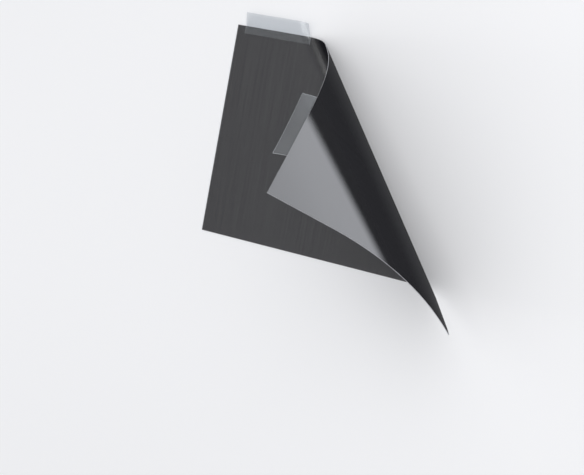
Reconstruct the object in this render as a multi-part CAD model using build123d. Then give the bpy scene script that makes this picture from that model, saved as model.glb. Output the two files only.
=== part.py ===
"""Laptop privacy filter: a louvre film with one corner curled up and over, and two clear hinge strips."""
import os
from math import cos, radians, sin, tan

from build123d import *

# Film, in millimetres: a 16:9 sheet a little larger than a 15.6 inch display
film_width = 350.0
film_height = 197.0
film_thickness = 0.5

# Curl, in millimetres and degrees: two bends, each along a line that leaves the top edge at a distance
# from the left corner and slants down to the right, with flat film before, between and after them
lift_start = 71.2
lift_slant_angle = 51.1
lift_radius = 33.6
lift_angle = 64.8
roll_start = 133.3
roll_slant_angle = 44.3
roll_radius = 108.5
roll_angle = 57.7

# Hinge strips: clear tape on the film's front face, with a tab past its top edge that folds forward
strip_length = 75.0
strip_reach = 13.0
strip_overlap = 7.0
strip_thickness = 0.3
bond_line = 0.02
left_strip_start = 9.6
left_tab_angle = 12.0
right_strip_start = 232.4
right_tab_angle = 30.0

# Spline stations along a bend
bend_stations = 13

lift_length = lift_radius * radians(lift_angle)
roll_length = roll_radius * radians(roll_angle)
far = 10 * film_width
tiny = 1e-6


def bend_line(start, slant):
    """Frame of a bend line in the flat sheet: X leads past it, Y runs up along it, Z leaves the front."""
    past = (sin(radians(slant)), cos(radians(slant)), 0)
    return Plane(origin=(start, film_height, 0), x_dir=past, z_dir=(0, 0, 1))


lift_line = bend_line(lift_start, lift_slant_angle)
roll_line = bend_line(roll_start, roll_slant_angle)


def wrapped(point, line, radius, length):
    """Where a point goes when the sheet is wrapped round a bend of a radius and a length."""
    local = line.to_local_coords(point)
    turn = min(max(local.X, 0), length) / radius
    rest = local.X - radius * turn
    run = (radius - local.Z) * sin(turn) + rest * cos(turn)
    height = radius - (radius - local.Z) * cos(turn) + rest * sin(turn)
    return line.from_local_coords(Vector(run, local.Y, height))


def curled(u, v, depth):
    """Where a point of the flat sheet lies once curled, at a depth above the film's back face."""
    rolled = wrapped(Vector(u, v, depth), roll_line, roll_radius, roll_length)
    return wrapped(rolled, lift_line, lift_radius, lift_length)


def skin(first_rail, second_rail):
    """Ruled face between two rails of points."""
    rails = (first_rail, second_rail)
    edges = [Edge.make_spline(rail) if len(rail) > 2 else Edge.make_line(*rail) for rail in rails]
    return Face.make_surface_from_curves(*edges)


def cut_side(polygon, side):
    """Part of a polygon where a distance is not negative."""
    kept = []
    for here, there in zip(polygon, polygon[1:] + polygon[:1]):
        if side(here) >= 0:
            kept.append(here)
        if side(here) * side(there) < 0:
            kept.append(here + (there - here) * (side(here) / (side(here) - side(there))))
    return kept


def cut_band(polygon, line, low, high):
    """Part of a polygon that lies between two distances past a bend line."""
    kept = cut_side(polygon, lambda point: line.to_local_coords(point).X - low)
    return cut_side(kept, lambda point: high - line.to_local_coords(point).X)


def flat_piece(polygon):
    """Solid of a polygon of the film that stays flat."""
    back, front = ([curled(point.X, point.Y, depth) for point in polygon] for depth in (0, film_thickness))
    faces = [Face(Wire.make_polygon(back)), Face(Wire.make_polygon(front))]
    for index in range(len(polygon)):
        corners = back[index - 1], back[index], front[index], front[index - 1]
        faces.append(Face(Wire.make_polygon(corners)))
    return Solid(Shell(faces))


def bent_piece(polygon, line):
    """Solid of a band of the film between two straight rulings of a bend."""
    outline = [line.to_local_coords(point) for point in polygon]
    low, high = min(point.X for point in outline), max(point.X for point in outline)
    first = sorted((point for point in outline if point.X - low < tiny), key=lambda point: point.Y)
    last = sorted((point for point in outline if high - point.X < tiny), key=lambda point: point.Y)
    rails = {}
    for side in (0, -1):
        for depth in (0, film_thickness):
            rails[side, depth] = []
            for station in range(bend_stations):
                share = station / (bend_stations - 1)
                flat = line.from_local_coords(first[side] + (last[side] - first[side]) * share)
                rails[side, depth].append(curled(flat.X, flat.Y, depth))
    lower_back, lower_front, upper_back, upper_front = rails.values()
    faces = [skin(lower_back, upper_back), skin(lower_front, upper_front)]
    faces += [skin(lower_back, lower_front), skin(upper_back, upper_front)]
    for index in (0, -1):
        corners = lower_back[index], lower_front[index], upper_front[index], upper_back[index]
        faces.append(Face(Wire.make_polygon(corners)))
    return Solid(Shell(faces))


def bent_pieces(polygon, line, length):
    """Solids of the film in a bend, split where the film's outline has a corner."""
    band = cut_band(polygon, line, 0, length)
    corners = sorted(line.to_local_coords(point).X for point in band)
    steps = [pair for pair in zip(corners, corners[1:]) if pair[1] - pair[0] > tiny]
    return [bent_piece(cut_band(band, line, low, high), line) for low, high in steps]


def privacy_film():
    """Film as one solid of constant thickness: flat, lift bend, flat, roll bend, flat."""
    sheet = [Vector(0, 0), Vector(film_width, 0), Vector(film_width, film_height), Vector(0, film_height)]
    raised = cut_band(sheet, lift_line, lift_length, far)
    pieces = [flat_piece(cut_band(raised, roll_line, -far, 0))]
    pieces.append(flat_piece(cut_band(raised, roll_line, roll_length, far)))
    pieces += bent_pieces(sheet, lift_line, lift_length)
    pieces += bent_pieces(raised, roll_line, roll_length)
    return flat_piece(cut_band(sheet, lift_line, -far, 0)).fuse(*pieces).clean().solid()


def strip_section(u, fold):
    """Corners of a strip's section along the top edge: inner end, fold and free end, then back again."""
    back = film_thickness + bond_line
    front = back + strip_thickness
    inner_v = film_height - strip_overlap
    edge = curled(u, film_height, back)
    ahead = (curled(u, film_height + tiny ** 0.5, back) - edge).normalized()
    out = (curled(u, film_height, front) - edge).normalized()
    free = edge + (ahead * cos(fold) + out * sin(fold)) * strip_reach
    edge_front = edge + (out - ahead * tan(fold / 2)) * strip_thickness
    free_front = free + (out * cos(fold) - ahead * sin(fold)) * strip_thickness
    return [curled(u, inner_v, back), edge, free, free_front, edge_front, curled(u, inner_v, front)]


def strip_stretches(start):
    """Stations along the top edge for each stretch of a strip: many in a bend, and two where it is flat."""
    end = start + strip_length
    slack = strip_overlap / tan(radians(min(lift_slant_angle, roll_slant_angle)))
    lift_end = lift_start + lift_length / sin(radians(lift_slant_angle)) + slack
    roll_end = roll_start + roll_length / sin(radians(roll_slant_angle)) + slack
    bends = ((lift_start, lift_end), (roll_start, roll_end))
    inside = [limit for bend in bends for limit in bend if start < limit < end]
    limits = [start, *inside, end]
    for low, high in zip(limits, limits[1:]):
        middle = (low + high) / 2
        bent = any(bend[0] < middle < bend[1] for bend in bends)
        count = bend_stations if bent else 2
        yield [low + (high - low) * step / (count - 1) for step in range(count)]


def hinge_strip(start, tab_angle):
    """Clear strip that starts at a distance from the film's left edge."""
    faces = []
    stretches = []
    for stations in strip_stretches(start):
        stretches.append([strip_section(u, radians(tab_angle)) for u in stations])
        rails = [list(rail) for rail in zip(*stretches[-1])]
        faces += [skin(rails[index - 1], rails[index]) for index in range(len(rails))]
    for section in (stretches[0][0], stretches[-1][-1]):
        inner, edge, free, free_front, edge_front, inner_front = section
        faces.append(skin([inner, edge], [inner_front, edge_front]))
        faces.append(skin([edge, free], [edge_front, free_front]))
    return Solid(Shell(faces))


nodes = {
    "privacy_film": privacy_film(),
    "left_hinge_strip": hinge_strip(left_strip_start, left_tab_angle),
    "right_hinge_strip": hinge_strip(right_strip_start, right_tab_angle),
}

# The origin is the centre of the foot of the whole part's box
box = Compound(list(nodes.values())).bounding_box()
to_origin = Pos(-box.center().X, -box.center().Y, -box.min.Z)

os.makedirs("parts", exist_ok=True)
for name, solid in nodes.items():
    export_step(to_origin * solid, f"parts/{name}.step")
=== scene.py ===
"""Laptop privacy filter: the looks of the curled louvre film and its clear hinge strips."""
from math import cos, pi, radians, sin, tan

import bpy
import numpy as np
from mathutils import Matrix, Vector


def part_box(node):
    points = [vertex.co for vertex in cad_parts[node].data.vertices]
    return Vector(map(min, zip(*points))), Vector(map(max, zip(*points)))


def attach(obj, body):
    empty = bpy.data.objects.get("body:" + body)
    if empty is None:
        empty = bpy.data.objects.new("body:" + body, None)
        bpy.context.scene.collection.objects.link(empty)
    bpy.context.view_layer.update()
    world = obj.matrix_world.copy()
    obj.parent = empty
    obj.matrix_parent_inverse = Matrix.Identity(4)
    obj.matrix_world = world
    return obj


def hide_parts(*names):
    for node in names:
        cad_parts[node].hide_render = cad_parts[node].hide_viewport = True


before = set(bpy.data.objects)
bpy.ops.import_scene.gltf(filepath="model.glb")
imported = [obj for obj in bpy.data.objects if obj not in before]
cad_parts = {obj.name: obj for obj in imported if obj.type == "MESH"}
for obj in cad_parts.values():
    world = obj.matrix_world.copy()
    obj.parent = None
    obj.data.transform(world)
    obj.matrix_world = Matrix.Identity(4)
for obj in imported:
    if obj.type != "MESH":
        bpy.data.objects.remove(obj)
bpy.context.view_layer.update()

# Sheet, in metres and degrees: the same sizes and bends as the solids
film_width = 0.350
film_height = 0.197
film_thickness = 0.0005
lift_start = 0.0712
lift_slant = 51.1
lift_radius = 0.0336
lift_angle = 64.8
roll_start = 0.1333
roll_slant = 44.3
roll_radius = 0.1085
roll_angle = 57.7
strip_length = 0.075
strip_reach = 0.013
strip_overlap = 0.007
strip_thickness = 0.0003
bond_line = 0.00002
left_strip_start = 0.0096
left_tab_angle = 12.0
right_strip_start = 0.2324
right_tab_angle = 30.0

# Mesh steps, and the short step that tells which way the sheet leads at its top edge
film_step = 0.0025
strip_step = 0.0020
edge_step = 0.00001

# Colours of the sheets, from dark to light: the body, the light that passes, and the cut edge
film_body = ((0.007, 0.007, 0.009, 1), (0.013, 0.013, 0.016, 1))
film_light = ((0.86, 0.86, 0.87, 1), (1.0, 1.0, 1.0, 1))
film_cut = ((0.62, 0.62, 0.66, 1), (0.82, 0.82, 0.86, 1))
strip_body = ((0.58, 0.61, 0.64, 1), (0.66, 0.69, 0.72, 1))
strip_light = ((0.88, 0.89, 0.90, 1), (0.92, 0.93, 0.94, 1))
strip_cut = ((0.75, 0.77, 0.80, 1), (0.88, 0.90, 0.93, 1))

# Noise, in changes to the metre: across and up the sheets for their lines and waves, and on the cut edges
louvre_lines = (500.0, 10.0)
sheet_waves = (30.0, 20.0)
cut_grain = 400.0

# Slants of the view, from 0 face on to 1 edge on, over which a sheet closes or gains gloss
film_closes = (0.16, 0.46)
strip_closes = (0.2, 0.9)
gloss_grows = (0.55, 1.0)

# How closed and how glossy each face is, at the first of those slants and at the second
back_closed = (0.05, 0.985)
front_closed = (0.63, 0.985)
strip_closed = (0.045, 0.40)
back_gloss = (0.018, 0.09)
front_gloss = (0.030, 0.06)
strip_gloss = (0.030, 0.08)

# Roughness of the gloss, of what lies under it and of the cut edges, and the waves in the gloss
film_roughness = 0.20
strip_roughness = 0.12
body_roughness = 0.6
cut_roughness = 0.35
wave_height = 0.0006
wave_strength = 0.5

# Painted sheen on the corner's back, a pale patch that stands in for light the back catches: the line where
# it starts, and the widths over which it comes in and darkens
painted_sheen_start = 0.252
painted_sheen_slant = 50.3
painted_sheen_width = 0.012
painted_sheen_fade = 0.080
painted_sheen_share = 0.42
painted_sheen_tones = ((0.66, 0.67, 0.70, 1), (0.50, 0.51, 0.535, 1))

# Studio: a pale floor just under the part, even light all round, a large key lamp and a low lamp at the side
floor_colour = (0.90, 0.90, 0.91, 1)
floor_roughness = 0.8
floor_half = 4.0
floor_drop = 0.0002
sky_colour = (0.97, 0.98, 1.0, 1)
sky_light = 0.72
backdrop_colour = (0.9, 0.9, 0.9, 1)
key_place = Vector((0.60, 0.45, 1.35))
key_aim = Vector((0.0, 0.0, 0.0))
key_size = (1.5, 1.5)
key_radiance = 1.35
side_place = Vector((-1.20, -0.34, 0.58))
side_aim = Vector((-0.08, 0.05, 0.02))
side_size = (0.25, 0.5)
side_radiance = 3.4

# Camera: the photograph's viewpoint, aim and upward direction, and its lens and sensor in millimetres
camera_place = Vector((0.8533, 0.0813, 1.3669))
camera_aim = Vector((-0.0568, -0.0786, 0.0))
camera_up = Vector((-0.2028, 0.9790, 0.0205))
camera_lens = 110.65
camera_sensor = 36.0

# Where the flat sheet's lower left corner lies in the frame
film_low, film_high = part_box("privacy_film")
sheet_origin = np.array([film_low.x, film_high.y - film_height, 0.0])


def wrap(points, start, slant, radius, angle):
    """Bend points of the sheet about a line that leaves the top edge and slants down to the right."""
    base = np.array([start, film_height, 0.0])
    along = np.array([cos(radians(slant)), -sin(radians(slant)), 0.0])
    past = np.array([sin(radians(slant)), cos(radians(slant)), 0.0])
    rise = np.array([0.0, 0.0, 1.0])
    offset = points - base
    distance = offset @ past
    turn = np.clip(distance / radius, 0.0, radians(angle))
    rest = distance - radius * turn
    depth = points[:, 2]
    run = radius * np.sin(turn) + rest * np.cos(turn) - depth * np.sin(turn)
    height = radius * (1 - np.cos(turn)) + rest * np.sin(turn) + depth * np.cos(turn)
    return base + np.outer(offset @ along, along) + np.outer(run, past) + np.outer(height, rise)


def curled(u, v, depth):
    """Places of a grid of the flat sheet once curled, at a depth above the film's back face."""
    flat = np.column_stack([u.ravel(), v.ravel(), np.full(u.size, depth)])
    rolled = wrap(flat, roll_start, roll_slant, roll_radius, roll_angle)
    lifted = wrap(rolled, lift_start, lift_slant, lift_radius, lift_angle)
    return (lifted + sheet_origin).reshape(*u.shape, 3)


def grid(left, right, low, high, step):
    """Flat places of a rectangle of the sheet, row by row from its lower left corner."""
    columns = max(1, round((right - left) / step)) + 1
    rows = max(1, round((high - low) / step)) + 1
    return np.meshgrid(np.linspace(left, right, columns), np.linspace(low, high, rows))


def unit(vectors):
    """Vectors brought to length one."""
    return vectors / np.linalg.norm(vectors, axis=-1, keepdims=True)


def closed_sheet(name, back, front, u, v):
    """Closed mesh between two grids of places: back, front and cut edge take material 0, 1 and 2."""
    rows, columns = u.shape
    count = rows * columns
    index = np.arange(count).reshape(rows, columns)
    lower_left, lower_right = index[:-1, :-1], index[:-1, 1:]
    upper_left, upper_right = index[1:, :-1], index[1:, 1:]
    cells = np.stack([lower_left, lower_right, upper_right, upper_left], axis=-1).reshape(-1, 4)
    ring = np.concatenate([index[0, :-1], index[:-1, -1], index[-1, :0:-1], index[:0:-1, 0]])
    after = np.roll(ring, -1)
    rim = np.stack([ring, after, after + count, ring + count], axis=-1)
    faces = np.vstack([cells[:, ::-1], cells + count, rim])
    places = np.vstack([back.reshape(-1, 3), front.reshape(-1, 3)])
    mesh = bpy.data.meshes.new(name)
    mesh.from_pydata(places.tolist(), [], faces.tolist())
    parts = np.repeat([0, 1, 2], [len(cells), len(cells), len(rim)])
    mesh.polygons.foreach_set("material_index", parts)
    mesh.polygons.foreach_set("use_smooth", parts < 2)
    on_rim = set(ring.tolist()) | set((ring + count).tolist())
    for edge in mesh.edges:
        edge.use_edge_sharp = on_rim.issuperset(edge.vertices)
    flat = np.column_stack([u.ravel(), v.ravel()])
    corners = np.array([loop.vertex_index for loop in mesh.loops])
    layer = mesh.uv_layers.new(name="sheet")
    layer.data.foreach_set("uv", np.vstack([flat, flat])[corners].ravel())
    mesh.update()
    piece = bpy.data.objects.new(name, mesh)
    bpy.context.scene.collection.objects.link(piece)
    return piece


def film_piece():
    """Film as a closed mesh."""
    u, v = grid(0.0, film_width, 0.0, film_height, film_step)
    return closed_sheet("curled_film", curled(u, v, 0.0), curled(u, v, film_thickness), u, v)


def strip_piece(name, start, tab_angle):
    """Clear strip as a closed mesh, on the film, with a tab that folds forward at the film's top edge."""
    fold = radians(tab_angle)
    back_depth = film_thickness + bond_line
    front_depth = back_depth + strip_thickness
    u, v = grid(start, start + strip_length, film_height - strip_overlap, film_height, strip_step)
    edge_u, edge_v = u[-1:], v[-1:]
    edge = curled(edge_u, edge_v, back_depth)
    ahead = unit(curled(edge_u, edge_v + edge_step, back_depth) - edge)
    out = unit(curled(edge_u, edge_v, front_depth) - edge)
    tab_u, tab_v = grid(start, start + strip_length, 0.0, strip_reach, strip_step)
    lead = ahead * cos(fold) + out * sin(fold)
    lean = out * cos(fold) - ahead * sin(fold)
    tab_back = edge + lead * tab_v[1:, :, None]
    tab_front = tab_back + lean * strip_thickness
    mitre = edge + (out - ahead * tan(fold / 2)) * strip_thickness
    back = np.concatenate([curled(u, v, back_depth), tab_back])
    front = np.concatenate([curled(u, v, front_depth)[:-1], mitre, tab_front])
    flat_u = np.concatenate([u, tab_u[1:]])
    flat_v = np.concatenate([v, film_height + tab_v[1:]])
    return closed_sheet(name, back, front, flat_u, flat_v)


def node(tree, kind, **values):
    """Shader node with some of its inputs and settings set."""
    made = tree.nodes.new(kind)
    for key, value in values.items():
        if key in made.inputs:
            made.inputs[key].default_value = value
        else:
            setattr(made, key, value)
    return made


def new_material(name):
    """Empty node material and its tree."""
    material = bpy.data.materials.new(name)
    material.use_nodes = True
    material.node_tree.nodes.clear()
    return material, material.node_tree


def show(tree, shader, kind="ShaderNodeOutputMaterial"):
    """Let a tree's output show a shader."""
    tree.links.new(shader, node(tree, kind).inputs["Surface"])


def flat_place(tree):
    """Place on the flat sheet, in metres."""
    return node(tree, "ShaderNodeUVMap", uv_map="sheet").outputs["UV"]


def sheet_noise(tree, changes):
    """Noise over the flat sheet, with so many changes to the metre across it and up it."""
    stretch = node(tree, "ShaderNodeMapping", Scale=(*changes, 1.0))
    noise = node(tree, "ShaderNodeTexNoise", Scale=1.0)
    tree.links.new(flat_place(tree), stretch.inputs["Vector"])
    tree.links.new(stretch.outputs["Vector"], noise.inputs["Vector"])
    return noise.outputs["Fac"]


def two_tone(tree, source, tones):
    """Colour that goes from one tone to another with a number."""
    mix = node(tree, "ShaderNodeMix", data_type="RGBA")
    mix.inputs["A"].default_value, mix.inputs["B"].default_value = tones
    tree.links.new(source, mix.inputs["Factor"])
    return mix.outputs["Result"]


def eased(tree, source, span, result):
    """Number that goes smoothly between two results while another goes over a span."""
    made = node(tree, "ShaderNodeMapRange", interpolation_type="SMOOTHSTEP")
    made.inputs["From Min"].default_value, made.inputs["From Max"].default_value = span
    made.inputs["To Min"].default_value, made.inputs["To Max"].default_value = result
    tree.links.new(source, made.inputs["Value"])
    return made.outputs["Result"]


def layered(tree, under, over, share=None):
    """Shader that mixes in another by a share, or half and half."""
    mix = node(tree, "ShaderNodeMixShader")
    tree.links.new(under, mix.inputs[1])
    tree.links.new(over, mix.inputs[2])
    if share is not None:
        tree.links.new(share, mix.inputs["Fac"])
    return mix.outputs["Shader"]


def with_painted_sheen(tree, surface):
    """Surface with a painted sheen over it, a pale veil by the distance past the painted sheen's line on the
    flat sheet.
    """
    across = Vector((sin(radians(painted_sheen_slant)), cos(radians(painted_sheen_slant)), 0.0))
    line = across.dot((painted_sheen_start, film_height, 0.0))
    past = node(tree, "ShaderNodeVectorMath", operation="DOT_PRODUCT")
    past.inputs[1].default_value = across
    tree.links.new(flat_place(tree), past.inputs[0])
    distance = past.outputs["Value"]
    # Painted sheen: a pale veil comes in past the line, standing in for light the corner's back catches, and
    # dims further past it as painted shade
    share = eased(tree, distance, (line, line + painted_sheen_width), (0.0, painted_sheen_share))
    painted_sheen_dimming = eased(tree, distance, (line, line + painted_sheen_fade), (0.0, 1.0))
    painted_sheen_veil = node(tree, "ShaderNodeBsdfDiffuse")
    tree.links.new(two_tone(tree, painted_sheen_dimming, painted_sheen_tones), painted_sheen_veil.inputs["Color"])
    return layered(tree, surface, painted_sheen_veil.outputs["BSDF"], share)


def see_through(name, body_tones, light_tones, closes, closed, gloss, roughness, painted_sheen_corner=False):
    """Sheet that closes as the view slants, with a gloss that grows edge on, and maybe a painted sheen on
    its corner.
    """
    material, tree = new_material(name)
    link = tree.links.new
    lines = sheet_noise(tree, louvre_lines)
    slant = node(tree, "ShaderNodeLayerWeight").outputs["Facing"]
    clear = node(tree, "ShaderNodeBsdfTransparent")
    link(two_tone(tree, lines, light_tones), clear.inputs["Color"])
    body = node(tree, "ShaderNodeBsdfPrincipled", Roughness=body_roughness)
    body.inputs["Specular IOR Level"].default_value = 0.0
    link(two_tone(tree, lines, body_tones), body.inputs["Base Color"])
    ripple = node(tree, "ShaderNodeBump", Strength=wave_strength, Distance=wave_height)
    link(sheet_noise(tree, sheet_waves), ripple.inputs["Height"])
    mirror = node(tree, "ShaderNodeBsdfGlossy", Roughness=roughness)
    link(ripple.outputs["Normal"], mirror.inputs["Normal"])
    closing = eased(tree, slant, closes, closed)
    sheet = layered(tree, clear.outputs["BSDF"], body.outputs["BSDF"], closing)
    shine = eased(tree, slant, gloss_grows, gloss)
    surface = layered(tree, sheet, mirror.outputs["BSDF"], shine)
    show(tree, with_painted_sheen(tree, surface) if painted_sheen_corner else surface)
    return material


def cut_edge(name, tones):
    """Pale cut edge that lets some light through, a little uneven along its length."""
    material, tree = new_material(name)
    link = tree.links.new
    noise = node(tree, "ShaderNodeTexNoise", Scale=cut_grain)
    link(node(tree, "ShaderNodeTexCoord").outputs["Object"], noise.inputs["Vector"])
    tone = two_tone(tree, noise.outputs["Fac"], tones)
    body = node(tree, "ShaderNodeBsdfPrincipled", Roughness=cut_roughness)
    link(tone, body.inputs["Base Color"])
    glow = node(tree, "ShaderNodeBsdfTranslucent")
    link(tone, glow.inputs["Color"])
    show(tree, layered(tree, body.outputs["BSDF"], glow.outputs["BSDF"]))
    return material


def dress(piece, materials, replaced):
    """Give a piece its materials and let it stand for a CAD node."""
    for material in materials:
        piece.data.materials.append(material)
    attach(piece, "root")
    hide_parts(replaced)


def floor_piece():
    """Pale plain floor."""
    mesh = bpy.data.meshes.new("floor")
    corners = [(x * floor_half, y * floor_half, 0) for x, y in ((-1, -1), (1, -1), (1, 1), (-1, 1))]
    mesh.from_pydata(corners, [], [(0, 1, 2, 3)])
    floor = bpy.data.objects.new("floor", mesh)
    floor.location.z = -floor_drop
    bpy.context.scene.collection.objects.link(floor)
    material, tree = new_material("pale_floor")
    body = node(tree, "ShaderNodeBsdfPrincipled", Roughness=floor_roughness)
    body.inputs["Base Color"].default_value = floor_colour
    show(tree, body.outputs["BSDF"])
    mesh.materials.append(material)


def softbox(name, place, aim, size, radiance):
    """Rectangular studio lamp of an even brightness, aimed at a point."""
    lamp = bpy.data.lights.new(name, "AREA")
    lamp.shape = "RECTANGLE"
    lamp.size, lamp.size_y = size
    lamp.energy = radiance * pi * lamp.size * lamp.size_y
    holder = bpy.data.objects.new(name, lamp)
    holder.location = place
    holder.rotation_euler = (aim - place).to_track_quat("-Z", "Y").to_euler()
    holder.visible_camera = False
    bpy.context.scene.collection.objects.link(holder)


def sky():
    """Even soft light from all round, seen as a pale backdrop, in gloss and through glass too."""
    world = bpy.data.worlds.new("studio")
    world.use_nodes = True
    tree = world.node_tree
    tree.nodes.clear()
    link = tree.links.new
    light = node(tree, "ShaderNodeBackground", Color=sky_colour, Strength=sky_light).outputs["Background"]
    backdrop = node(tree, "ShaderNodeBackground", Color=backdrop_colour).outputs["Background"]
    path = node(tree, "ShaderNodeLightPath")
    direct = node(tree, "ShaderNodeMath", operation="MAXIMUM")
    link(path.outputs["Is Camera Ray"], direct.inputs[0])
    link(path.outputs["Is Glossy Ray"], direct.inputs[1])
    seen = node(tree, "ShaderNodeMath", operation="MAXIMUM")
    link(direct.outputs["Value"], seen.inputs[0])
    link(path.outputs["Is Transmission Ray"], seen.inputs[1])
    show(tree, layered(tree, light, backdrop, seen.outputs["Value"]), "ShaderNodeOutputWorld")
    bpy.context.scene.world = world


def viewpoint():
    """Camera at the photograph's viewpoint."""
    camera = bpy.data.cameras.new("camera")
    camera.sensor_width = camera_sensor
    camera.lens = camera_lens
    holder = bpy.data.objects.new("camera", camera)
    backward = (camera_place - camera_aim).normalized()
    rightward = camera_up.cross(backward).normalized()
    upward = backward.cross(rightward)
    turn = Matrix((rightward, upward, backward)).transposed().to_4x4()
    holder.matrix_world = Matrix.Translation(camera_place) @ turn
    bpy.context.scene.collection.objects.link(holder)
    bpy.context.scene.camera = holder


# The film's back carries the painted sheen on its curled corner
film_back = see_through(
    "film_back", film_body, film_light, film_closes, back_closed, back_gloss, film_roughness, painted_sheen_corner=True)
film_front = see_through(
    "film_front", film_body, film_light, film_closes, front_closed, front_gloss, film_roughness)
film_edge = cut_edge("film_cut_edge", film_cut)
strip_face = see_through(
    "strip_face", strip_body, strip_light, strip_closes, strip_closed, strip_gloss, strip_roughness)
strip_edge = cut_edge("strip_cut_edge", strip_cut)

dress(film_piece(), (film_back, film_front, film_edge), "privacy_film")
left_strip = strip_piece("left_clear_strip", left_strip_start, left_tab_angle)
right_strip = strip_piece("right_clear_strip", right_strip_start, right_tab_angle)
dress(left_strip, (strip_face, strip_face, strip_edge), "left_hinge_strip")
dress(right_strip, (strip_face, strip_face, strip_edge), "right_hinge_strip")

floor_piece()
sky()
softbox("key", key_place, key_aim, key_size, key_radiance)
softbox("side", side_place, side_aim, side_size, side_radiance)
viewpoint()
bpy.context.scene.view_settings.view_transform = "Standard"
